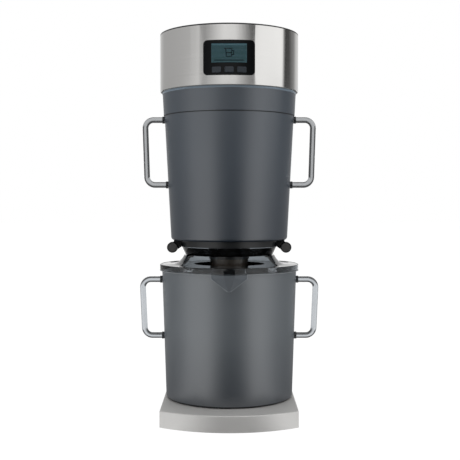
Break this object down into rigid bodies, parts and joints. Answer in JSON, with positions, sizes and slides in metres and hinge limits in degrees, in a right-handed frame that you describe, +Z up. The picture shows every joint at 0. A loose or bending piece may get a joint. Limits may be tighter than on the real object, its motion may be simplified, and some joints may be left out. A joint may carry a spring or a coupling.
{
  "type": "cold brew coffee maker",
  "caption": "Stacked cold brew coffee maker: plinth, spouted pitcher with cradle lid, brew vessel with a turning drain valve, and a steel control head with display and buttons.",
  "frame": {"origin": "on the common axis of both vessels, at the underside of the plinth's pad", "axes": "+Z up through both vessels, the display and the spout face -Y, the handles lie along X"},
  "size_m": [0.3132, 0.282, 0.6574],
  "materials": {
    "brushed_steel": "vertical light and dark bands over a fine horizontal brushing",
    "pitcher_smoke": "satin smoke grey moulding",
    "brew_smoke": "satin dark blue-grey moulding",
    "handle_rod": "smoke grey rod, light along the middle",
    "ferrule_black": "black",
    "gloss_black": "glossy black moulding",
    "matte_black": "black moulding",
    "knob_grey": "grey knob",
    "clear_tube": "smoky outlet tube",
    "rubber_black": "anti-slip rubber",
    "silicone": "grey silicone",
    "stainless": "plain stainless",
    "display_glass": "tinted window",
    "display_panel": "teal grey liquid crystal",
    "button_slate": "dark slate caps",
    "circuit_green": "circuit board",
    "motor_metal": "motor case",
    "cell_wrap": "plain wrapped cells"
  },
  "bodies": {
    "plinth": {"base_pad": "rubber_black", "base_housing": "brushed_steel", "base_core": "matte_black"},
    "pitcher": {"pitcher_vessel": "pitcher_smoke", "pitcher_handle_right": "handle_rod", "pitcher_handle_left": "handle_rod", "pitcher_ferrules_right": "ferrule_black", "pitcher_ferrules_left": "ferrule_black"},
    "lid": {"pitcher_lid": "gloss_black", "lid_seal": "silicone"},
    "brewer": {"brew_vessel": "brew_smoke", "brew_handle_right": "handle_rod", "brew_handle_left": "handle_rod", "brew_ferrules_right": "ferrule_black", "brew_ferrules_left": "ferrule_black", "receiver_dish": "gloss_black", "outlet_nozzle": "clear_tube", "port_gasket": "silicone", "centre_bolt": "stainless", "filter_frame": "matte_black", "filter_mesh": "stainless"},
    "valve": {"valve_ring": "gloss_black", "valve_knob_right": "knob_grey", "valve_knob_left": "knob_grey"},
    "head": {"head_ring": "brushed_steel", "top_cover": "matte_black", "head_chassis": "matte_black", "chassis_screws": "stainless", "head_seal": "silicone", "shaft_seal": "rubber_black", "control_bezel": "gloss_black", "display_window": "display_glass", "lcd_module": "display_panel", "control_board": "circuit_green", "button_switches": "matte_black", "gearbox": "matte_black", "drive_motor": "motor_metal", "battery_holder": "matte_black", "battery_cells": "cell_wrap"},
    "agitator": {"agitator_shaft": "stainless", "agitator_paddle": "stainless"},
    "left_button": {"button_left": "button_slate"},
    "centre_button": {"button_centre": "button_slate"},
    "right_button": {"button_right": "button_slate"}
  },
  "joints": [
    {"name": "pitcher_lift", "type": "slide", "parent": "plinth", "child": "pitcher", "axis": [0, 0, 1], "range_m": [0, 0.06]},
    {"name": "lid_lift", "type": "slide", "parent": "pitcher", "child": "lid", "axis": [0, 0, 1], "range_m": [0, 0.06]},
    {"name": "brewer_lift", "type": "slide", "parent": "lid", "child": "brewer", "axis": [0, 0, 1], "range_m": [0, 0.08]},
    {"name": "valve_turn", "type": "hinge", "parent": "brewer", "child": "valve", "pos_m": [0, 0, 0.2897], "axis": [0, 0, 1], "range_deg": [0, 60]},
    {"name": "head_lift", "type": "slide", "parent": "brewer", "child": "head", "axis": [0, 0, 1], "range_m": [0, 0.25]},
    {"name": "agitator_spin", "type": "hinge", "parent": "head", "child": "agitator", "pos_m": [0, 0, 0.45], "axis": [0, 0, 1], "continuous": true},
    {"name": "left_button_press", "type": "slide", "parent": "head", "child": "left_button", "axis": [0, 1, 0], "range_m": [0, 0.0012], "stiffness_N_per_m": 500, "springref_m": -0.0012},
    {"name": "centre_button_press", "type": "slide", "parent": "head", "child": "centre_button", "axis": [0, 1, 0], "range_m": [0, 0.0012], "stiffness_N_per_m": 500, "springref_m": -0.0012},
    {"name": "right_button_press", "type": "slide", "parent": "head", "child": "right_button", "axis": [0, 1, 0], "range_m": [0, 0.0012], "stiffness_N_per_m": 500, "springref_m": -0.0012}
  ]
}
